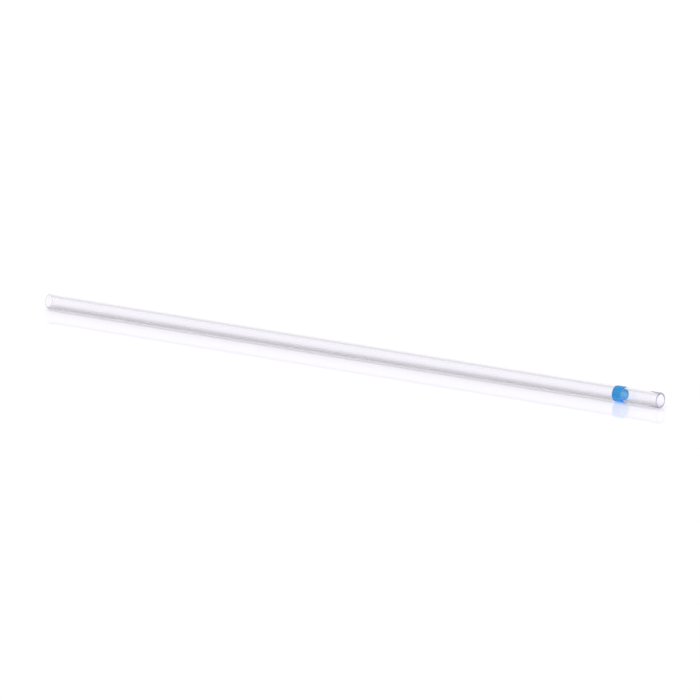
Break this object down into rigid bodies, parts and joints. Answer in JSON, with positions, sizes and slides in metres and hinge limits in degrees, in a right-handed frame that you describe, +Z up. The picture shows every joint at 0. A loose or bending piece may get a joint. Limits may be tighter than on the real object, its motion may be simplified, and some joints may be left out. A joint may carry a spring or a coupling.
{
  "type": "glass capillary tube",
  "caption": "Thin drawn-glass micro-haematocrit capillary tube, open at both ends, with a blue fired ring near one end, for taking up and spinning a small blood sample.",
  "frame": {"origin": "centre of the tube's length, on the plane that the tube lies on", "axes": "+X along the tube towards the ringed end, +Z up from the plane that it lies on"},
  "size_m": [0.075, 0.0016, 0.0015],
  "materials": {
    "clear_glass": "fire-polished clear glass",
    "blue_ink": "fired glossy blue ink"
  },
  "bodies": {
    "root": {"glass_tube": "clear_glass", "colour_ring": "blue_ink"}
  },
  "joints": []
}
